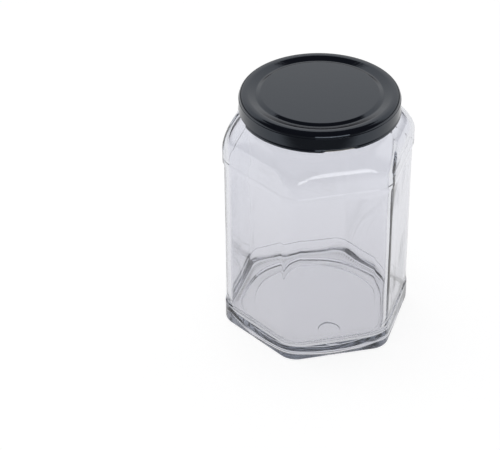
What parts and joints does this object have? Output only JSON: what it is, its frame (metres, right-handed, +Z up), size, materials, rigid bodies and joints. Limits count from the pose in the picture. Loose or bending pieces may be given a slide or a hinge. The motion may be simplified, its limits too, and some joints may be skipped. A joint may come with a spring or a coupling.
{
  "type": "hexagonal glass jar with lid",
  "caption": "Empty six-sided clear glass food jar with recessed label panels, a rounded shoulder and a round mouth closed by a black steel twist-off lid.",
  "frame": {"origin": "centre of the rim that the jar stands on, on the table plane", "axes": "+Z up along the jar's axis to the lid; -Y and +Y are normal to two of the six flats; two corners lie on the X axis"},
  "size_m": [0.0814, 0.0728, 0.1088],
  "materials": {
    "clear_glass": "clear moulded glass, very faint grey-lavender tint",
    "black_lacquer": "glossy black lacquer on pressed steel"
  },
  "bodies": {
    "root": {"jar": "clear_glass", "lid": "black_lacquer"}
  },
  "joints": []
}
